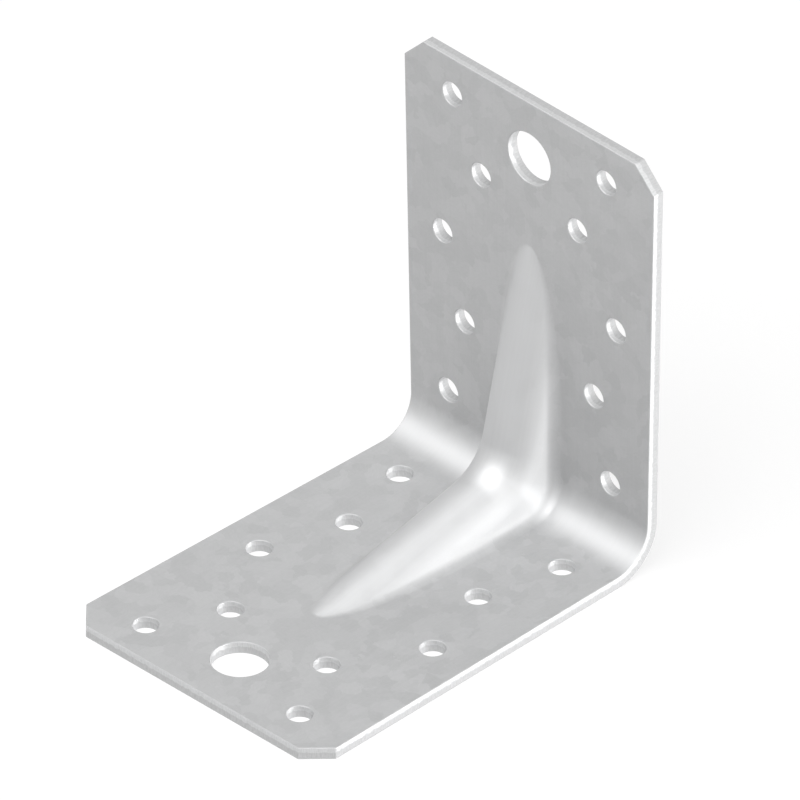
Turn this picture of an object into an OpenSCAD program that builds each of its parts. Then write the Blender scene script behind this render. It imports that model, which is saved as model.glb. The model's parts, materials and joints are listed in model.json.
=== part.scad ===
// Stamped metal bracket: a right-angle fold of perforated sheet steel,
// stiffened by one rib pressed through the bend.
// Millimetres. The bracket stands on one flange, its free end towards -Y.
// The other flange stands up at the back, along +Y.

/* [Sheet] */
// Length of each flange, from the outer face of the other one
flange_length = 90; // [80:1:120]
// Width across the free end of a flange
end_width = 65; // [60:1:90]
// How far each side edge leans in from the free end to the bend
side_lean = 2; // [0:0.25:4]
// Thickness of the steel sheet
sheet_t = 2.5; // [1.5:0.25:3.5]
// Inside radius of the right-angle bend
bend_r = 7.5; // [5:0.5:10]
// Leg of the straight cut across each free corner
corner_cut = 5; // [1:0.5:8]

/* [Nail holes] */
// Diameter of a nail hole
nail_d = 5; // [3:0.25:6]
// From the end of the bend to the first row of nail holes
first_row_from_bend = 5; // [4:0.5:8]
// From the fourth row of nail holes to the free end
fourth_row_from_end = 22.5; // [20:0.5:26]
// From the outermost row of nail holes to the free end
end_row_from_end = 8; // [6:0.5:10]
// Distance between the two holes of the first row
first_row_spacing = 42; // [36:0.5:46]
// Distance between the two holes of the second row
second_row_spacing = 33.5; // [30:0.5:46]
// Distance between the two holes of the third row
third_row_spacing = 45; // [30:0.5:48]
// Distance between the two holes of the fourth row
fourth_row_spacing = 25; // [20:0.5:44]
// Distance between the two holes of the outermost row
end_row_spacing = 40; // [32:0.5:44]

/* [Bolt holes] */
// Diameter of the bolt hole in each flange
bolt_d = 11; // [8:0.5:13]
// From the centre of the bolt hole to the free end
bolt_from_end = 12.5; // [10:0.5:14]

/* [Rib] */
// From the tip of the rib to the free end
rib_from_end = 32; // [28:1:45]
// Angle at which the crest of the rib rises out of a flange
rib_rise = 12.8; // [10:0.2:16]
// Radius of the rounded crest, across the rib
crest_r = 6.5; // [5:0.25:8]
// Radius of the hollow fillet along the foot of the rib
foot_r = 2.5; // [1.5:0.25:3.5]
// Radius with which the crest turns through the corner
crest_turn_r = 7.5; // [3:0.5:12]

/* [Hidden] */

$fn = 96;

// Faces that meet along a curve cross by this much instead of just touching
sink = 0.03;
// How far a cutting shape runs past the face it cuts
past = 1;

// Sheet
bend_outer_r = bend_r + sheet_t;
heel_width = end_width - 2 * side_lean;
zinc_grey = [0.76, 0.77, 0.78];

// Rows of nail holes, each as distance from the heel and distance between its holes
first_row = bend_outer_r + first_row_from_bend;
fourth_row = flange_length - fourth_row_from_end;
row_pitch = (fourth_row - first_row) / 3;
nail_rows = [
    [first_row, first_row_spacing],
    [first_row + row_pitch, second_row_spacing],
    [first_row + 2 * row_pitch, third_row_spacing],
    [fourth_row, fourth_row_spacing],
    [flange_length - end_row_from_end, end_row_spacing]
];

// The rib is laid out in the middle plane of the bracket, with points [a, b]:
// a is the distance from the back of the upright flange, b the height.
// A ball of radius foot_r rolls along the flange face and up against the rib.
foot_face = sheet_t - sink;
bend_centre = [bend_outer_r, bend_outer_r];
crest_start = [sheet_t, flange_length - rib_from_end];
crest_up = [cos(rib_rise), sin(rib_rise)];
crest_along = [sin(rib_rise), -cos(rib_rise)];
turn_place = (crest_turn_r + crest_start * crest_up) / (crest_up[0] + crest_up[1]);
turn_centre = [turn_place, turn_place];
ball_reach = crest_r + foot_r;

// Height at which the ball, rolling down the upright flange, first meets the crest
first_touch = crest_start[1] + (foot_r - (foot_r - sink) * crest_up[0]) / crest_up[1];

// Sections along half of the rib, closer together near its tip
wide_run = ball_reach / crest_up[1];
flat_run = first_touch - bend_outer_r;
tip_run = min(wide_run, flat_run);
tip_sections = 14;
even_sections = ceil((flat_run - tip_run) / 1.3);
bend_sections = 6;

// Points across half of a section
foot_points = 6;
crest_points = 9;

function unit(v) = v / norm(v);

// Arc on a unit sphere from one direction to another, at a fraction of its length
function between(from, to, fraction) =
    let(angle = acos(from * to))
    (sin((1 - fraction) * angle) * from + sin(fraction * angle) * to) / sin(angle);

// Middle-plane point or direction with its distance across the bracket
function across(x, v) = [x, v[0], v[1]];

// Centre line of the round crest, nearest to a point: [centre, direction to the crest]
function crest_centre(point) =
    let(start = crest_start - crest_r * crest_up)
    let(along = (point - start) * crest_along)
    let(line_length = (turn_centre - start) * crest_along)
    let(to_turn = unit(turn_centre - point))
    along < line_length
        ? [start + along * crest_along, crest_up]
        : [turn_centre - (crest_turn_r + crest_r) * to_turn, to_turn];

// Places along the foot of half of the rib: [point on the sheet, direction off the sheet]
function tip_place(i) =
    let(run = tip_run * (1 - cos(90 * (i + 0.3) / (tip_sections + 0.3))))
    [[foot_face, first_touch - run], [1, 0]];
function even_place(i) =
    let(run = tip_run + (flat_run - tip_run) * i / even_sections)
    [[foot_face, first_touch - run], [1, 0]];
function bend_place(i) =
    let(angle = 45 * i / bend_sections)
    let(off = [cos(angle), sin(angle)])
    [bend_centre - (bend_r + sink) * off, off];
half_places = [
    for (i = [0 : tip_sections]) tip_place(i),
    for (i = [1 : 1 : even_sections]) even_place(i),
    for (i = [1 : bend_sections]) bend_place(i)
];

// Half of a section, from the foot to the crest. A skin of 0 is the upper
// surface, and a skin of sheet_t the surface under it.
function half_section(place, skin) =
    let(ball = place[0] + foot_r * place[1])
    let(crest = crest_centre(ball))
    let(height = (ball - crest[0]) * crest[1])
    let(ball_x = height > 0 ? sqrt(ball_reach ^ 2 - height ^ 2) : ball_reach)
    let(to_crest = height > 0 ? -across(ball_x, height * crest[1]) / ball_reach : [-1, 0, 0])
    let(to_foot = -across(0, place[1]))
    let(widest = height > 0 ? atan2(ball_x, height) : 90)
    [
        for (i = [0 : foot_points - 1])
            across(ball_x, ball) + (foot_r + skin) * between(to_foot, to_crest, i / (foot_points - 0.5)),
        for (i = [0 : crest_points])
            let(angle = widest * (1 - (i + 0.5) / (crest_points + 0.5)))
            across(0, crest[0]) + (crest_r - skin) * across(sin(angle), cos(angle) * crest[1])
    ];

// Closed ring round the rib at one place, shut off at a depth under the sheet's face
function ring(place, skin, depth) =
    let(half = half_section(place, skin))
    let(shut = across(half[0][0], place[0] - depth * place[1]))
    let(side = concat([shut], half))
    concat(side, [for (i = [len(side) - 2 : -1 : 0]) [-side[i][0], side[i][1], side[i][2]]]);

function swapped(points) = [for (p = points) [p[0], p[2], p[1]]];

// Solid swept along the whole rib, from the upright flange to the floor flange
module swept_rib(skin, depth) {
    upright = [for (place = half_places) ring(place, skin, depth)];
    floor_side = [for (i = [len(upright) - 2 : -1 : 0]) swapped(upright[i])];
    rings = concat(upright, floor_side);
    count = len(rings[0]);
    last = len(rings) - 1;
    middle = (count - 1) / 2;
    points = [for (r = rings) for (p = r) [p[0], -p[1], p[2]]];
    skin_faces = [
        for (r = [0 : last - 1])
            for (i = [0 : count - 1])
                let(a = r * count + i)
                let(b = r * count + (i + 1) % count)
                each [[a, a + count, b], [b, a + count, b + count]]
    ];
    end_faces = [
        for (i = [0 : middle - 1])
            each [
                [i, i + 1, count - 1 - i],
                if (i < middle - 1) [i + 1, count - 2 - i, count - 1 - i]
            ]
    ];
    far_faces = [for (f = end_faces) [for (i = [2, 1, 0]) f[i] + last * count]];
    polyhedron(points, concat(skin_faces, end_faces, far_faces), convexity = 6);
}

// Outline of the flattened floor flange from above, with the free end towards -Y
module flange_outline() {
    polygon([
        [-heel_width / 2, 0],
        [-end_width / 2 + corner_cut * side_lean / flange_length, corner_cut - flange_length],
        [corner_cut - end_width / 2, -flange_length],
        [end_width / 2 - corner_cut, -flange_length],
        [end_width / 2 - corner_cut * side_lean / flange_length, corner_cut - flange_length],
        [heel_width / 2, 0]
    ]);
}

// Floor flange with its half of the bend
module plain_flange() {
    intersection() {
        linear_extrude(bend_outer_r) flange_outline();
        union() {
            translate([-end_width / 2, -flange_length, 0])
                cube([end_width, flange_length - bend_outer_r, sheet_t]);
            translate([0, -bend_outer_r, bend_outer_r])
                rotate([0, 90, 0])
                    rotate_extrude(angle = 45)
                        translate([bend_r, -end_width / 2])
                            square([sheet_t, end_width]);
        }
    }
}

module flange_holes() {
    translate([0, bolt_from_end - flange_length, -past])
        cylinder(h = sheet_t + 2 * past, d = bolt_d);
    for (row = nail_rows)
        for (side = [-1, 1])
            translate([side * row[1] / 2, -row[0], -past])
                cylinder(h = sheet_t + 2 * past, d = nail_d);
}

// The child on the floor flange and its mirror image on the upright one
module on_both_flanges() {
    children();
    mirror([0, 1, 1]) children();
}

module bracket() {
    color(zinc_grey)
        translate([0, flange_length / 2, 0])
            difference() {
                union() {
                    on_both_flanges() plain_flange();
                    swept_rib(0, sheet_t / 2);
                }
                swept_rib(sheet_t, sheet_t + past);
                on_both_flanges() flange_holes();
            }
}

bracket();
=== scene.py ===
"""Stamped angle bracket of zinc-coated sheet steel: its finished surfaces, the light and the camera.

Lengths are in metres, in the frame of the solid model: X across the bracket, the floor flange reaching
towards -Y, the upright flange at the back along +Y, and Z up from the underside.
"""
import json
from collections import namedtuple

import bmesh
import bpy
import numpy as np
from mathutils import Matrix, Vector
from mathutils.geometry import delaunay_2d_cdt


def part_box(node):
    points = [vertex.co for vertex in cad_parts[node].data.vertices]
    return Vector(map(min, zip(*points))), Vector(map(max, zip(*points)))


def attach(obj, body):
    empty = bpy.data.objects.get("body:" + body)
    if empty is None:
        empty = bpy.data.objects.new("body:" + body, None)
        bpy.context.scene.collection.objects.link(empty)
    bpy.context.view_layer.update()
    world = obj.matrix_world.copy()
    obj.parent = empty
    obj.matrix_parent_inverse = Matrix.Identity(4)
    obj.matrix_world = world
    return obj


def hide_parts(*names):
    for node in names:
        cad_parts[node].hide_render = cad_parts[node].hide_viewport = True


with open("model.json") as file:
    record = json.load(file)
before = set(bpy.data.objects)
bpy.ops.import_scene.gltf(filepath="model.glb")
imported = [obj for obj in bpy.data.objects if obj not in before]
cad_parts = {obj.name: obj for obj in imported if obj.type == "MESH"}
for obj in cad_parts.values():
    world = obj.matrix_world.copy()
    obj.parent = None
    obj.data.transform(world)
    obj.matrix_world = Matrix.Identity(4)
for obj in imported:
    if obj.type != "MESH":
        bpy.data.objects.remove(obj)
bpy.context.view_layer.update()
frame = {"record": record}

MM = 0.001

# Sheet
SHEET = 2.5 * MM
BEND_INNER = 7.5 * MM
BEND_OUTER = BEND_INNER + SHEET
END_WIDTH = 65 * MM
SIDE_LEAN = 2 * MM
CORNER_CUT = 5 * MM

# Rib: angle of its crest to the flange, and the radii of crest, foot and corner
RIB_FROM_END = 32 * MM
RIB_RISE = np.radians(12.8)
CREST = 6.5 * MM
FOOT = 2.5 * MM
CREST_TURN = 7.5 * MM

# Edges: pressed round where the punch went in, nearly sharp where it came out
PUNCH_ROUND = 0.22 * MM
BURR_ROUND = 0.1 * MM
CORNER_EASE = 0.35 * MM

# Fineness of the mesh
BEND_STEPS = 14
TIP_STEPS = 40
EVEN_STEPS = 8
FOOT_STEPS = 10
CREST_STEPS = 16
EDGE_STEPS = 4
NAIL_HOLE_STEPS = 56
BOLT_HOLE_STEPS = 96
FACE_POINT_GAP = 4 * MM
FACE_POINT_CLEARANCE = FACE_POINT_GAP / 4
SEAM_GAP = 0.0005 * MM

# Zinc coating: crystals to a metre, how far their borders wander as a share of a crystal, how many times to a
# crystal they do, and the scales of the feathering and of the mill's lines, in cells per metre
CRYSTALS_PER_METRE = 330.0
BORDER_WANDER = 0.7
WANDERS_TO_A_CRYSTAL = 2.0
FEATHER_SCALE = (4200.0, 700.0, 1100.0)
MILL_LINE_SCALE = (2600.0, 45.0, 45.0)

# Cut edges, down the depth of the cut: the burnished share, how far the torn band's border wanders and half
# the width over which it fades, then the scales of that wandering and of the streaks
BURNISHED_SHARE = 0.42
TORN_WANDER = 0.3
TORN_FADE = 0.04
TORN_WANDER_SCALE = 900.0
STREAK_SCALE = (5200.0, 2.2, 1.0)

# Each finish of the sheet: its grey as an HSV value, and how metallic and how rough it is
Finish = namedtuple("Finish", "grey metallic roughness")
FLAT_ZINC = Finish(0.45, 0.4, 0.58)
# Formed zinc: more metallic and a little smoother, with a grey lighter than the flat zinc's partly as a
# painted highlight on the bend and the rib
FORMED_ZINC_AND_HIGHLIGHT = Finish(0.545, 0.85, 0.56)
BURNISHED_STEEL = Finish(0.56, 0.6, 0.45)
TORN_STEEL = Finish(0.47, 0.35, 0.62)
HUE = 0.6
SATURATION = 0.012

# How far each pattern swings the grey, how much of the crystals' swing the forming takes away, and how many
# times as far the crystals swing the roughness
TONE_SWING = 0.045
FROST_SWING = 0.07
MILL_LINE_SWING = 0.03
STREAK_SWING = 0.2
CRYSTALS_LOST = 0.65
ROUGHNESS_SWING = 1.6

# Relief: how much each pattern adds, its height, and how strongly it shows
MILL_LINE_RELIEF = 0.35
FROST_RELIEF = 0.4
STREAK_RELIEF = 2.5
RELIEF_HEIGHT = 0.03 * MM
RELIEF_STRENGTH = 0.25

# Values of the cut attribute, which is the squared outward part of an edge's normal, between which the zinc
# gives way to steel
CUT_STARTS = 0.55
CUT_FULL = 0.95

# Picture: its width at the object, the place in its middle, how far off the camera and the lamps stand, and
# between which distances the camera sees
PICTURE_WIDTH = 146.82 * MM
PICTURE_MIDDLE = (0, 9.03 * MM, 40.0 * MM)
CAMERA_DISTANCE = 1.0
CAMERA_RANGE = (0.01, 10.0)
LAMP_DISTANCE = 1.2

low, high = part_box("bracket")
LENGTH = high.z - low.z
BACK = high.y
# Half of the bend, measured along the middle of the sheet
HALF_BEND = (BEND_INNER + SHEET / 2) * np.pi / 4
FREE_END = LENGTH - BEND_OUTER + HALF_BEND

# Points with their normals, the place along and down a cut edge, how far the metal there is cut and how far
# it is stretched, each from 0 to 1, and the faces between the points
Patch = namedtuple("Patch", "points normals edge cut formed faces")


def stacked(*parts):
    """Puts coordinates side by side as vectors, after making their arrays one shape."""
    return np.stack(np.broadcast_arrays(*parts), axis=-1)


def dot(first, second):
    """Sum of products along the last axis, kept as a last axis of one."""
    return np.sum(first * second, axis=-1, keepdims=True)


def fold(x, run, depth):
    """Folds the blank: x across it, run along it from the middle of the bend, depth under its upper face.

    Within HALF_BEND of the middle the direction off the face turns evenly from straight up to straight
    out of the upright flange, round the centre of the bend. Further out the run goes straight along the
    flange. Returns the points, the directions off the face and the directions of growing run.
    """
    angle = (1 - np.clip(run / HALF_BEND, -1, 1)) * np.pi / 4
    past = np.maximum(np.abs(run) - HALF_BEND, 0)
    radius = BEND_INNER + depth
    y = BACK - BEND_OUTER + radius * np.cos(angle) - np.where(run < 0, past, 0)
    z = BEND_OUTER - radius * np.sin(angle) + np.where(run > 0, past, 0)
    off = stacked(0 * angle, -np.cos(angle), np.sin(angle))
    along = stacked(0 * angle, np.sin(angle), np.cos(angle))
    return stacked(x, y, z), off, along


def in_bend(run):
    """How far the sheet is stretched by the bend: 1 in its middle, falling as a cosine to 0 at its ends."""
    return np.cos(np.clip(run / HALF_BEND, -1, 1) * np.pi / 2)


def half_width(run):
    """Half of the blank's width, which shrinks evenly with the distance to the other flange's back."""
    angle = (1 - np.minimum(np.abs(run) / HALF_BEND, 1)) * np.pi / 4
    past = np.maximum(np.abs(run) - HALF_BEND, 0)
    from_heel = BEND_OUTER - (BEND_INNER + SHEET / 2) * np.sin(angle) + past
    return END_WIDTH / 2 - SIDE_LEAN * (1 - from_heel / LENGTH)


def eased_corner(before, corner, after):
    """Turns round a corner of the blank on an arc of CORNER_EASE that touches both of its sides."""
    coming = (corner - before) / np.linalg.norm(corner - before)
    going = (after - corner) / np.linalg.norm(after - corner)
    start = np.arctan2(-coming[0], coming[1])
    turn = np.arctan2(coming[0] * going[1] - coming[1] * going[0], coming @ going)
    angle = start + turn * np.linspace(0, 1, EDGE_STEPS + 1)
    outward = stacked(np.cos(angle), np.sin(angle))
    middle = outward[0] + outward[-1]
    centre = corner - CORNER_EASE * middle * 2 / (middle @ middle)
    return centre + CORNER_EASE * outward, outward


def outline():
    """Edge of the blank with the metal on its left: the right side up, then its mirror image back down.

    The right side is two eased corners of the floor flange, a line through the bend that follows
    half_width, and two eased corners of the upright flange. Returns points and outward directions.
    """
    side_end = FREE_END - CORNER_CUT
    lower = np.array([
        [0, -FREE_END],
        [END_WIDTH / 2 - CORNER_CUT, -FREE_END],
        [half_width(-side_end), -side_end],
        [half_width(-HALF_BEND), -HALF_BEND],
    ])
    upper = lower[::-1] * [1, -1]
    corners = [eased_corner(*lower[:3]), eased_corner(*lower[1:])]
    far_corners = [eased_corner(*upper[:3]), eased_corner(*upper[1:])]
    run = np.linspace(-HALF_BEND, HALF_BEND, 2 * BEND_STEPS + 1)
    slope = np.gradient(half_width(run), run)
    length = np.hypot(1, slope)
    side = (stacked(half_width(run), run), stacked(1 / length, -slope / length))
    right = [*corners, side, *far_corners]
    points = np.concatenate([part[0] for part in right])
    outward = np.concatenate([part[1] for part in right])
    points = np.concatenate([points, points[::-1] * [-1, 1]])
    outward = np.concatenate([outward, outward[::-1] * [-1, 1]])
    return points, outward


def hole(x, run, radius, steps):
    """Edge of a round hole with the metal on its left: a circle turned against the outline's sense."""
    angle = -np.linspace(0, 2 * np.pi, steps, endpoint=False)
    around = stacked(np.cos(angle), np.sin(angle))
    return np.array([x, run]) + radius * around, -around


def edge_section():
    """Section through a cut edge: a quarter arc off the upper face, the straight cut, a quarter arc on.

    Returns how far each point lies in from the cut, its depth, and the outward and upward parts of its
    normal.
    """
    angle = np.linspace(0, np.pi / 2, EDGE_STEPS + 1)
    inset = np.concatenate([PUNCH_ROUND * (1 - np.sin(angle)), BURR_ROUND * (1 - np.cos(angle))])
    depth = np.concatenate([PUNCH_ROUND * (1 - np.cos(angle)), SHEET - BURR_ROUND * (1 - np.sin(angle))])
    outward = np.concatenate([np.sin(angle), np.cos(angle)])
    upward = np.concatenate([np.cos(angle), -np.sin(angle)])
    return inset, depth, outward, upward


def cut_edge(path, path_outward):
    """Carries the section of a cut edge along a closed path on the blank and folds it with the blank."""
    path = np.concatenate([path, path[:1]])
    path_outward = np.concatenate([path_outward, path_outward[:1]])
    inset, depth, outward, upward = edge_section()
    place = path[:, None] - inset[:, None] * path_outward[:, None]
    points, off, along = fold(place[..., 0], place[..., 1], depth)
    sideways = path_outward[:, None, :1] * [1, 0, 0] + path_outward[:, None, 1:] * along
    normals = outward[:, None] * sideways + upward[:, None] * off
    steps = np.linalg.norm(np.diff(path, axis=0), axis=1)
    travelled = np.concatenate([[0], np.cumsum(steps)])
    edge = stacked(travelled[:, None], depth / SHEET)
    cut = np.broadcast_to(outward ** 2, edge.shape[:2])
    return patch(points, normals, edge, cut, in_bend(place[..., 1]))


def grid_faces(rows, columns):
    """Quads between neighbouring points of a grid whose points are numbered row by row."""
    corner = (np.arange(rows - 1)[:, None] * columns + np.arange(columns - 1)).ravel()
    return stacked(corner, corner + 1, corner + columns + 1, corner + columns)


def patch(points, normals, edge, cut, formed):
    """Makes a patch of a grid of points."""
    faces = grid_faces(*points.shape[:2])
    return Patch(points.reshape(-1, 3), normals.reshape(-1, 3), edge.reshape(-1, 2), cut.ravel(),
                 formed.ravel(), faces)


def crest_bar(point):
    """Middle of the round bar whose top is the crest, where it is nearest to points of the middle plane.

    The bar runs straight down from the tip, under the crest's slope, as far as the turn, and then round
    the turn's centre, which is as far from both flanges. Returns the middle and the way to the crest.
    """
    up = np.array([-np.cos(RIB_RISE), np.sin(RIB_RISE)])
    down = np.array([-np.sin(RIB_RISE), -np.cos(RIB_RISE)])
    crest_start = np.array([BACK - SHEET, LENGTH - RIB_FROM_END])
    from_corner = (crest_start - [BACK, 0]) @ up + CREST_TURN
    turn_centre = np.array([BACK, 0]) + from_corner / (up[1] - up[0]) * np.array([-1, 1])
    bar_start = crest_start - CREST * up
    travelled = dot(point - bar_start, down)
    straight = travelled < (turn_centre - bar_start) @ down
    to_turn = turn_centre - point
    to_turn = to_turn / np.linalg.norm(to_turn, axis=-1, keepdims=True)
    middle = np.where(straight, bar_start + travelled * down, turn_centre - (CREST_TURN + CREST) * to_turn)
    return middle, np.where(straight, up, to_turn)


def between(start, end, share):
    """Directions on the great circle from start to end, at shares of the angle between them."""
    angle = np.arccos(np.clip(dot(start, end), -1, 1))
    return (np.sin((1 - share) * angle) * start + np.sin(share * angle) * end) / np.sin(angle)


def rib_runs():
    """Places along half of the rib, from its tip to the middle of the bend.

    From the tip they fall as 1 - cos, so that the foot widens by even steps, until the ball in the foot
    has sunk to the middle of the crest's bar. Then they are even down to the bend and round it.
    """
    tip = LENGTH - RIB_FROM_END + FOOT * np.tan(RIB_RISE / 2)
    widening = (CREST + FOOT) / np.sin(RIB_RISE)
    tip_part = tip - widening * (1 - np.cos(np.linspace(0, np.pi / 2, TIP_STEPS + 1)))
    even_part = np.linspace(tip_part[-1], BEND_OUTER, EVEN_STEPS + 1)[1:]
    bend_part = np.linspace(HALF_BEND, 0, BEND_STEPS + 1)[1:]
    return np.concatenate([tip_part - BEND_OUTER + HALF_BEND, even_part - BEND_OUTER + HALF_BEND, bend_part])


def rib_half(run, depth):
    """One side of the rib on the upright flange, at each run from the foot to the top of the crest.

    A ball of radius FOOT rolls on the flange and against the crest's bar, and its arc is the hollow
    fillet. Where the ball's centre lies under the bar's, the side between them stands square to X. At a
    depth the same arcs are struck with the sheet added to the ball and taken off the bar. Returns points,
    normals and the foot's distance from the middle plane.
    """
    base, off, _ = fold(np.zeros_like(run), run, 0)
    ball = (base + FOOT * off)[:, 1:]
    middle, up = crest_bar(ball)
    height = dot(ball - middle, up)
    reach = CREST + FOOT
    under = height < 0
    ball_x = np.where(under, reach, np.sqrt(np.maximum(reach ** 2 - height ** 2, 0)))
    to_bar = np.where(under, [-1.0, 0, 0], np.concatenate([-ball_x, -height * up], axis=1) / reach)
    lean = np.where(under, np.pi / 2, np.arctan2(ball_x, height))

    share = (np.arange(FOOT_STEPS) / (FOOT_STEPS - 0.5))[:, None]
    spoke = between(-off[:, None], to_bar[:, None], share)
    ball = np.concatenate([ball_x, ball], axis=1)[:, None]
    fillet = ball + (FOOT + depth) * spoke

    angle = lean * (1 - (np.arange(CREST_STEPS + 1) + 0.5) / (CREST_STEPS + 0.5))
    rise = np.concatenate([np.sin(angle)[..., None], np.cos(angle)[..., None] * up[:, None]], axis=2)
    middle = np.concatenate([0 * ball_x, middle], axis=1)[:, None]
    crest = middle + (CREST - depth) * rise
    points = np.concatenate([fillet, crest], axis=1)
    normals = np.concatenate([-spoke, rise], axis=1)
    return points, normals, ball_x[:, 0]


def rib(depth):
    """The whole rib: the half section, its mirror image across X = 0, and the same on the floor flange.

    The two flanges are mirror images in the plane that halves the corner: a height above the floor
    becomes a distance from the back, and the other way round.
    """
    points, normals, foot = rib_half(rib_runs(), depth)
    points = np.concatenate([points, points[:, -2::-1] * [-1, 1, 1]], axis=1)
    normals = np.concatenate([normals, normals[:, -2::-1] * [-1, 1, 1]], axis=1)
    floor_points = stacked(points[..., 0], BACK - points[..., 2], BACK - points[..., 1])
    floor_normals = stacked(normals[..., 0], -normals[..., 2], -normals[..., 1])
    points = np.concatenate([points, floor_points[-2::-1]])
    normals = np.concatenate([normals, floor_normals[-2::-1]])
    rows, columns = points.shape[:2]
    bent = in_bend(np.concatenate([rib_runs(), -rib_runs()[-2::-1]]))
    pressed = np.sin(np.linspace(0, np.pi, columns))
    formed = np.maximum(bent[:, None], pressed)
    formed[0] = formed[-1] = 0
    return patch(points, normals if depth == 0 else -normals, np.zeros((rows, columns, 2)),
                 np.zeros((rows, columns)), formed)


def rib_foot():
    """Line round the foot of the rib on the blank, with the metal on its left."""
    run = rib_runs()
    foot = rib_half(run, 0)[2]
    right = stacked(foot, run)
    right = np.concatenate([right, right[-2::-1] * [1, -1]])
    return np.concatenate([right, right[-2:0:-1] * [-1, 1]])


def turns_round(points, lines):
    """How many times the lines run round each point, from the angles between their corners seen from it.

    Lines with the metal on their left make this 1 in the metal and 0 in its holes and outside it.
    """
    total = np.zeros(len(points))
    for line in lines:
        to_corner = line - points[:, None]
        to_next = np.roll(to_corner, -1, axis=1)
        cross = to_corner[..., 0] * to_next[..., 1] - to_corner[..., 1] * to_next[..., 0]
        total += np.arctan2(cross, np.sum(to_corner * to_next, axis=-1)).sum(axis=1)
    return total / (2 * np.pi)


def face_points(lines):
    """Points spread over the blank: rows through the bend on its steps, and a square grid elsewhere.

    Only those stay that lie in the metal and keep clear of every line round or in it.
    """
    bend_runs = np.linspace(-HALF_BEND, HALF_BEND, 2 * BEND_STEPS + 1)
    rows = np.arange(HALF_BEND + FACE_POINT_GAP, FREE_END, FACE_POINT_GAP)
    columns = np.arange(-END_WIDTH / 2, END_WIDTH / 2, FACE_POINT_GAP)
    x, run = np.meshgrid(columns, np.concatenate([-rows[::-1], bend_runs, rows]))
    spread = stacked(x.ravel(), run.ravel())
    spread = spread[turns_round(spread, lines) > 0.5]
    nearest = np.min(np.linalg.norm(spread[:, None] - np.concatenate(lines), axis=2), axis=1)
    return spread[nearest > FACE_POINT_CLEARANCE]


def faces_of_sheet(edges, foot):
    """Upper and lower face of the sheet between its cut edges and the foot of the rib.

    The blank is divided into triangles that keep to those lines, with spread points between them, and
    the same triangles are folded twice: at depth 0, and at the depth of the sheet.
    """
    def lines(inset):
        return [points - inset * outward for points, outward in edges] + [foot]

    upper_lines = lines(PUNCH_ROUND)
    spread = face_points(upper_lines)
    upper = np.concatenate([*upper_lines, spread])
    lower = np.concatenate([*lines(BURR_ROUND), spread])
    borders = []
    first = 0
    for line in upper_lines:
        turn = np.arange(len(line))
        borders.append(stacked(first + turn, first + np.roll(turn, -1)))
        first += len(line)
    inside_lines = 1
    same_place = 1e-7
    divided = delaunay_2d_cdt([Vector(place) for place in upper / MM], np.concatenate(borders).tolist(), [],
                              inside_lines, same_place)
    given_point = np.array([ids[0] for ids in divided[3]])
    triangles = given_point[np.array(divided[2])]
    triangles = triangles[turns_round(upper[triangles].mean(axis=1), upper_lines) > 0.5]
    made = []
    for place, depth in ((upper, 0.0), (lower, SHEET)):
        points, off, _ = fold(place[:, 0], place[:, 1], depth)
        none = np.zeros(len(place))
        normals = off if depth == 0 else -off
        made.append(Patch(points, normals, stacked(none, none), none, in_bend(place[:, 1]), triangles))
    return made


def turned_outwards(part):
    """Faces of a patch, each turned so that its own normal agrees with the normals of its points.

    The cross product of a quad's two diagonals is its normal, and so is that of a triangle's last two sides.
    """
    corners = part.points[part.faces]
    own = np.cross(corners[:, 2] - corners[:, 0], corners[:, -1] - corners[:, 1])
    wanted = part.normals[part.faces].sum(axis=1)
    inwards = np.sum(own * wanted, axis=1) < 0
    return np.where(inwards[:, None], part.faces[:, ::-1], part.faces)


def joined(name, patches):
    """Joins patches into one closed mesh, with the exact normals of the surfaces at its points."""
    starts = np.cumsum([0] + [len(part.points) for part in patches])
    faces = []
    for part, start in zip(patches, starts):
        faces += (turned_outwards(part) + start).tolist()
    mesh = bpy.data.meshes.new(name)
    mesh.from_pydata(np.concatenate([part.points for part in patches]).tolist(), [], faces)
    corner_point = np.zeros(len(mesh.loops), dtype=np.int32)
    mesh.loops.foreach_get("vertex_index", corner_point)
    edge_map = mesh.uv_layers.new(name="edge_map")
    edge = np.concatenate([part.edge for part in patches])[corner_point]
    edge_map.uv.foreach_set("vector", edge.astype(np.float32).ravel())
    for label in ("cut", "formed"):
        share = mesh.attributes.new(label, "FLOAT", "POINT")
        values = np.concatenate([getattr(part, label) for part in patches])
        share.data.foreach_set("value", values.astype(np.float32))
    normal = mesh.attributes.new("surface_normal", "FLOAT_VECTOR", "POINT")
    normals = np.concatenate([part.normals for part in patches])
    normal.data.foreach_set("vector", normals.astype(np.float32).ravel())

    shape = bmesh.new()
    shape.from_mesh(mesh)
    bmesh.ops.remove_doubles(shape, verts=shape.verts, dist=SEAM_GAP)
    shape.to_mesh(mesh)
    shape.free()
    mesh.shade_smooth()
    normals = np.zeros(len(mesh.vertices) * 3, dtype=np.float32)
    mesh.attributes["surface_normal"].data.foreach_get("vector", normals)
    mesh.attributes.remove(mesh.attributes["surface_normal"])
    mesh.normals_split_custom_set_from_vertices(normals.reshape(-1, 3).tolist())
    piece = bpy.data.objects.new(name, mesh)
    bpy.context.scene.collection.objects.link(piece)
    return piece


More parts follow.
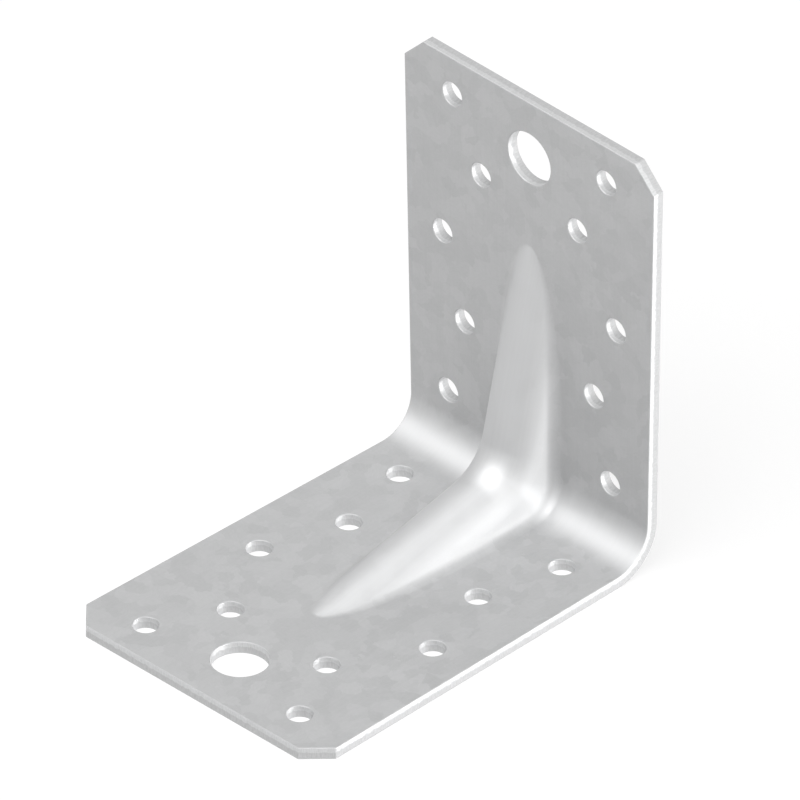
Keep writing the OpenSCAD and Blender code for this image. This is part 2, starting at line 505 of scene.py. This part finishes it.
def holes_of_record():
    """Edges of the holes on the blank, from the places and sizes of the mounts in the record."""
    edges = []
    for mount in frame["record"]["mounts"]:
        if mount["kind"] not in ("bore", "bolt_pattern"):
            continue
        x, y, z = mount["pos_m"]
        on_floor = abs(mount["axis"][2]) > 0.5
        from_heel = BACK - y if on_floor else z
        run = (from_heel - BEND_OUTER + HALF_BEND) * (-1 if on_floor else 1)
        dims = mount["dims"]
        if mount["kind"] == "bore":
            edges.append(hole(x, run, dims["r_mm"] * MM, BOLT_HOLE_STEPS))
            continue
        for side in (-1, 1):
            beside = x + side * dims["spacing_x_mm"] / 2 * MM
            edges.append(hole(beside, run, dims["hole_r_mm"] * MM, NAIL_HOLE_STEPS))
    return edges


def node_group(name, inputs, outputs):
    """Empty shader node group with the named inputs, each with its default value, and outputs."""
    group = bpy.data.node_groups.new(name, "ShaderNodeTree")
    for label, value in inputs.items():
        socket = group.interface.new_socket(name=label, in_out="INPUT", socket_type="NodeSocketFloat")
        socket.default_value = value
    for label in outputs:
        group.interface.new_socket(name=label, in_out="OUTPUT", socket_type="NodeSocketFloat")
    return group, group.nodes.new("NodeGroupInput"), group.nodes.new("NodeGroupOutput")


def added(tree, kind, **settings):
    """New node of a kind, with its properties set."""
    node = tree.nodes.new(kind)
    for name, value in settings.items():
        setattr(node, name, value)
    return node


def feed(tree, socket, source):
    """Gives a socket its value: a link from another socket, or a plain number or vector."""
    if isinstance(source, bpy.types.NodeSocket):
        tree.links.new(source, socket)
    else:
        socket.default_value = source


def maths(tree, operation, first, second=0.0, third=0.0):
    """Output of a Math node."""
    node = added(tree, "ShaderNodeMath", operation=operation)
    for socket, source in zip(node.inputs, (first, second, third)):
        feed(tree, socket, source)
    return node.outputs[0]


def smooth_step(tree, value, start, end):
    """0 below start, 1 above end and a soft rise between them."""
    node = added(tree, "ShaderNodeMapRange", interpolation_type="SMOOTHSTEP")
    for label, source in (("Value", value), ("From Min", start), ("From Max", end)):
        feed(tree, node.inputs[label], source)
    return node.outputs["Result"]


def centred_times(tree, value, strength):
    """A 0 to 1 pattern times a strength, less half of it, so that it swings about zero."""
    return maths(tree, "MULTIPLY_ADD", value, strength, -strength / 2)


def object_place(tree, scale):
    """Object coordinates times a scale for each axis, in cells per metre."""
    place = added(tree, "ShaderNodeTexCoord")
    node = added(tree, "ShaderNodeMapping")
    node.inputs["Scale"].default_value = scale
    tree.links.new(place.outputs["Object"], node.inputs["Vector"])
    return node.outputs["Vector"]


def zinc_spangle():
    """Crystals of a zinc coating: cells of uneven tone, each with its own direction of frosty feathering."""
    given_values = {"Crystals per metre": CRYSTALS_PER_METRE}
    group, given, result = node_group("zinc_spangle", given_values, ("Tone", "Frost"))
    place = added(group, "ShaderNodeTexCoord").outputs["Object"]
    wander = added(group, "ShaderNodeTexNoise")
    wander.inputs["Detail"].default_value = 3
    group.links.new(place, wander.inputs["Vector"])
    wander_scale = maths(group, "MULTIPLY", given.outputs[0], WANDERS_TO_A_CRYSTAL)
    group.links.new(wander_scale, wander.inputs["Scale"])
    centred = added(group, "ShaderNodeVectorMath", operation="SUBTRACT")
    centred.inputs[1].default_value = (0.5, 0.5, 0.5)
    group.links.new(wander.outputs["Color"], centred.inputs[0])
    shift = added(group, "ShaderNodeVectorMath", operation="SCALE")
    group.links.new(centred.outputs[0], shift.inputs[0])
    group.links.new(maths(group, "DIVIDE", BORDER_WANDER, given.outputs[0]), shift.inputs["Scale"])
    moved = added(group, "ShaderNodeVectorMath", operation="ADD")
    group.links.new(place, moved.inputs[0])
    group.links.new(shift.outputs[0], moved.inputs[1])
    crystals = added(group, "ShaderNodeTexVoronoi")
    group.links.new(moved.outputs[0], crystals.inputs["Vector"])
    group.links.new(given.outputs[0], crystals.inputs["Scale"])
    split = added(group, "ShaderNodeSeparateColor")
    group.links.new(crystals.outputs["Color"], split.inputs[0])
    group.links.new(split.outputs["Red"], result.inputs["Tone"])
    angles = added(group, "ShaderNodeVectorMath", operation="SCALE")
    angles.inputs["Scale"].default_value = 2 * np.pi
    group.links.new(crystals.outputs["Color"], angles.inputs[0])
    turned = added(group, "ShaderNodeVectorRotate", rotation_type="EULER_XYZ")
    group.links.new(place, turned.inputs["Vector"])
    group.links.new(angles.outputs[0], turned.inputs["Rotation"])
    drawn_out = added(group, "ShaderNodeMapping")
    drawn_out.inputs["Scale"].default_value = FEATHER_SCALE
    group.links.new(turned.outputs[0], drawn_out.inputs["Vector"])
    feathers = added(group, "ShaderNodeTexNoise")
    feathers.inputs["Scale"].default_value = 1.0
    feathers.inputs["Detail"].default_value = 3
    group.links.new(drawn_out.outputs[0], feathers.inputs["Vector"])
    group.links.new(feathers.outputs["Fac"], result.inputs["Frost"])
    return group


def rolling_lines():
    """Faint lines that the mill leaves along the sheet: noise drawn out along both flanges."""
    group, _, result = node_group("rolling_lines", {}, ("Lines",))
    lines = added(group, "ShaderNodeTexNoise")
    lines.inputs["Scale"].default_value = 1.0
    lines.inputs["Detail"].default_value = 5
    group.links.new(object_place(group, MILL_LINE_SCALE), lines.inputs["Vector"])
    group.links.new(lines.outputs["Fac"], result.inputs["Lines"])
    return group


def sheared_metal():
    """Punched edge: a burnished band under the punch side, then a rough torn band down to the burr."""
    given_values = {"Burnished share": BURNISHED_SHARE}
    group, given, result = node_group("sheared_metal", given_values, ("Torn", "Streaks"))
    edge = added(group, "ShaderNodeUVMap", uv_map="edge_map")
    split = added(group, "ShaderNodeSeparateXYZ")
    group.links.new(edge.outputs[0], split.inputs[0])
    along = added(group, "ShaderNodeTexNoise", noise_dimensions="1D")
    along.inputs["Scale"].default_value = TORN_WANDER_SCALE
    along.inputs["Detail"].default_value = 3
    group.links.new(split.outputs["X"], along.inputs["W"])
    ragged = centred_times(group, along.outputs["Fac"], TORN_WANDER)
    depth = maths(group, "ADD", split.outputs["Y"], ragged)
    start = maths(group, "SUBTRACT", given.outputs[0], TORN_FADE)
    end = maths(group, "ADD", given.outputs[0], TORN_FADE)
    group.links.new(smooth_step(group, depth, start, end), result.inputs["Torn"])
    drawn = added(group, "ShaderNodeTexNoise", noise_dimensions="2D")
    drawn.inputs["Scale"].default_value = 1.0
    drawn.inputs["Detail"].default_value = 4
    stretch = added(group, "ShaderNodeMapping")
    stretch.inputs["Scale"].default_value = STREAK_SCALE
    group.links.new(edge.outputs[0], stretch.inputs["Vector"])
    group.links.new(stretch.outputs[0], drawn.inputs["Vector"])
    group.links.new(drawn.outputs["Fac"], result.inputs["Streaks"])
    return group


def placed(tree, group):
    """Group node in a material, with the group's own values."""
    return added(tree, "ShaderNodeGroup", node_tree=group)


def mixed(tree, share, first, second):
    """First value where the share is 0, second where it is 1."""
    node = added(tree, "ShaderNodeMix", data_type="FLOAT")
    for label, source in (("Factor", share), ("A", first), ("B", second)):
        feed(tree, node.inputs[label], source)
    return node.outputs["Result"]


def zinc_coated_steel():
    """Dull grey galvanised sheet, more metallic where it is formed and lighter there partly as a painted
    highlight, with cut steel edges.

    The crystals and the mill's lines swing the grey of the zinc. Forming blends the flat zinc into the
    formed one and takes most of the crystals away. On cut edges the burnished steel gives way to the torn.
    """
    material = bpy.data.materials.new("galvanised_sheet")
    material.use_nodes = True
    tree = material.node_tree
    shader = tree.nodes["Principled BSDF"]

    spangle = placed(tree, zinc_spangle())
    lines = placed(tree, rolling_lines()).outputs["Lines"]
    shear = placed(tree, sheared_metal())
    torn = shear.outputs["Torn"]
    cut_share = added(tree, "ShaderNodeAttribute", attribute_name="cut").outputs["Fac"]
    cut = smooth_step(tree, cut_share, CUT_STARTS, CUT_FULL)
    formed = added(tree, "ShaderNodeAttribute", attribute_name="formed").outputs["Fac"]

    crystals = maths(tree, "ADD", centred_times(tree, spangle.outputs["Tone"], TONE_SWING),
                     centred_times(tree, spangle.outputs["Frost"], FROST_SWING))
    kept = maths(tree, "MULTIPLY_ADD", formed, -CRYSTALS_LOST, 1.0)
    zinc_grey = maths(tree, "MULTIPLY_ADD", crystals, kept, FLAT_ZINC.grey)
    zinc_grey = maths(tree, "ADD", zinc_grey, centred_times(tree, lines, MILL_LINE_SWING))
    # Painted highlight, partly real: the grey rises towards the formed zinc's over the bend and the rib
    zinc_grey = maths(tree, "MULTIPLY_ADD", formed, FORMED_ZINC_AND_HIGHLIGHT.grey - FLAT_ZINC.grey, zinc_grey)
    steel_grey = maths(tree, "ADD", centred_times(tree, shear.outputs["Streaks"], STREAK_SWING),
                       mixed(tree, torn, BURNISHED_STEEL.grey, TORN_STEEL.grey))
    colour = added(tree, "ShaderNodeCombineColor", mode="HSV")
    colour.inputs["Red"].default_value = HUE
    colour.inputs["Green"].default_value = SATURATION
    feed(tree, colour.inputs["Blue"], mixed(tree, cut, zinc_grey, steel_grey))
    feed(tree, shader.inputs["Base Color"], colour.outputs[0])

    steel_metal = mixed(tree, torn, BURNISHED_STEEL.metallic, TORN_STEEL.metallic)
    zinc_metal = mixed(tree, formed, FLAT_ZINC.metallic, FORMED_ZINC_AND_HIGHLIGHT.metallic)
    feed(tree, shader.inputs["Metallic"], mixed(tree, cut, zinc_metal, steel_metal))

    zinc_rough = mixed(tree, formed, FLAT_ZINC.roughness, FORMED_ZINC_AND_HIGHLIGHT.roughness)
    zinc_rough = maths(tree, "MULTIPLY_ADD", crystals, ROUGHNESS_SWING, zinc_rough)
    steel_rough = mixed(tree, torn, BURNISHED_STEEL.roughness, TORN_STEEL.roughness)
    feed(tree, shader.inputs["Roughness"], mixed(tree, cut, zinc_rough, steel_rough))

    frost_relief = maths(tree, "MULTIPLY", spangle.outputs["Frost"], FROST_RELIEF)
    relief = maths(tree, "MULTIPLY_ADD", lines, MILL_LINE_RELIEF, frost_relief)
    streak_relief = maths(tree, "MULTIPLY", cut, STREAK_RELIEF)
    edge_relief = maths(tree, "MULTIPLY", shear.outputs["Streaks"], streak_relief)
    bump = added(tree, "ShaderNodeBump")
    bump.inputs["Strength"].default_value = RELIEF_STRENGTH
    bump.inputs["Distance"].default_value = RELIEF_HEIGHT
    feed(tree, bump.inputs["Height"], maths(tree, "ADD", relief, edge_relief))
    feed(tree, shader.inputs["Normal"], bump.outputs["Normal"])
    return material


def seen_directly(tree):
    """1 for what the camera sees, also in gloss or through glass, and 0 for light that falls on things."""
    ray = added(tree, "ShaderNodeLightPath")
    seen = maths(tree, "MAXIMUM", ray.outputs["Is Camera Ray"], ray.outputs["Is Glossy Ray"])
    return maths(tree, "MAXIMUM", seen, ray.outputs["Is Transmission Ray"])


def pale_floor():
    """Flat pale floor that keeps a faint shadow, and shows white to the camera, in gloss and through glass.

    What is seen directly is a share of white glow and, for the rest, the plain floor with its shadow.
    """
    reach = 3.0
    gap = 0.02 * MM
    grey = 0.8
    glow_share = 0.7
    glow_strength = 1.1
    corners = reach * np.array([[-1, -1, 0], [1, -1, 0], [1, 1, 0], [-1, 1, 0]]) - [0, 0, gap]
    mesh = bpy.data.meshes.new("floor")
    mesh.from_pydata(corners.tolist(), [], [[0, 1, 2, 3]])
    floor = bpy.data.objects.new("floor", mesh)
    bpy.context.scene.collection.objects.link(floor)
    material = bpy.data.materials.new("pale_floor")
    material.use_nodes = True
    tree = material.node_tree
    tree.nodes.remove(tree.nodes["Principled BSDF"])
    paper = added(tree, "ShaderNodeBsdfDiffuse")
    paper.inputs["Color"].default_value = (grey, grey, grey, 1)
    glow = added(tree, "ShaderNodeEmission")
    glow.inputs["Color"].default_value = (1, 1, 1, 1)
    glow.inputs["Strength"].default_value = glow_strength
    shown = maths(tree, "MULTIPLY", seen_directly(tree), glow_share)
    mix = added(tree, "ShaderNodeMixShader")
    feed(tree, mix.inputs[0], shown)
    tree.links.new(paper.outputs[0], mix.inputs[1])
    tree.links.new(glow.outputs[0], mix.inputs[2])
    tree.links.new(mix.outputs[0], tree.nodes["Material Output"].inputs["Surface"])
    mesh.materials.append(material)
    return floor


def white_surround(ambient):
    """World that shows white to the camera, in gloss and through glass, and lights things by the ambient."""
    world = bpy.data.worlds.new("surround")
    bpy.context.scene.world = world
    world.use_nodes = True
    tree = world.node_tree
    background = tree.nodes["Background"]
    background.inputs["Color"].default_value = (1, 1, 1, 1)
    strength = maths(tree, "MULTIPLY_ADD", seen_directly(tree), 1.0 - ambient, ambient)
    feed(tree, background.inputs["Strength"], strength)


def soft_light(name, towards, size, watts, aim, shadow=True):
    """Square area light in a direction from the object, turned to face it.

    Without a shadow its light passes through the metal. It then has no multiple importance sampling either,
    because with it the rays that the metal stops take part of that light away, which darkens the rib's flank
    on the upright flange.
    """
    lamp = bpy.data.lights.new(name, "AREA")
    lamp.use_shadow = shadow
    lamp.cycles.use_multiple_importance_sampling = shadow
    lamp.shape = "SQUARE"
    lamp.size = size
    lamp.energy = watts
    light = bpy.data.objects.new(name, lamp)
    direction = Vector(towards).normalized()
    light.location = aim + direction * LAMP_DISTANCE
    light.rotation_euler = direction.to_track_quat("Z", "Y").to_euler()
    bpy.context.scene.collection.objects.link(light)


def isometric_camera():
    """Parallel projection from the corner of a cube, as the drawing has it."""
    camera_data = bpy.data.cameras.new("camera")
    camera_data.type = "ORTHO"
    camera_data.ortho_scale = PICTURE_WIDTH
    camera_data.clip_start, camera_data.clip_end = CAMERA_RANGE
    camera = bpy.data.objects.new("camera", camera_data)
    direction = Vector((1, -1, 1)).normalized()
    camera.location = Vector(PICTURE_MIDDLE) + direction * CAMERA_DISTANCE
    camera.rotation_euler = direction.to_track_quat("Z", "Y").to_euler()
    bpy.context.scene.collection.objects.link(camera)
    bpy.context.scene.camera = camera


edges = [outline(), *holes_of_record()]
patches = [cut_edge(*edge) for edge in edges]
patches += [rib(0.0), rib(SHEET)]
patches += faces_of_sheet(edges, rib_foot())
bracket = joined("folded_sheet", patches)
bracket.data.materials.append(zinc_coated_steel())
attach(bracket, "root")
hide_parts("bracket")

floor = pale_floor()
white_surround(ambient=0.25)
centre = Vector((0, 0, LENGTH / 2))
soft_light("key", (0.0, -0.48, 0.88), size=1.4, watts=17.6, aim=centre)
soft_light("side", (0.76, 0.63, -0.17), size=1.4, watts=13.5, aim=centre, shadow=False)
soft_light("fill", (0.88, 0.0, 0.47), size=0.9, watts=4.0, aim=centre, shadow=False)
isometric_camera()
bpy.context.scene.view_settings.view_transform = "Standard"
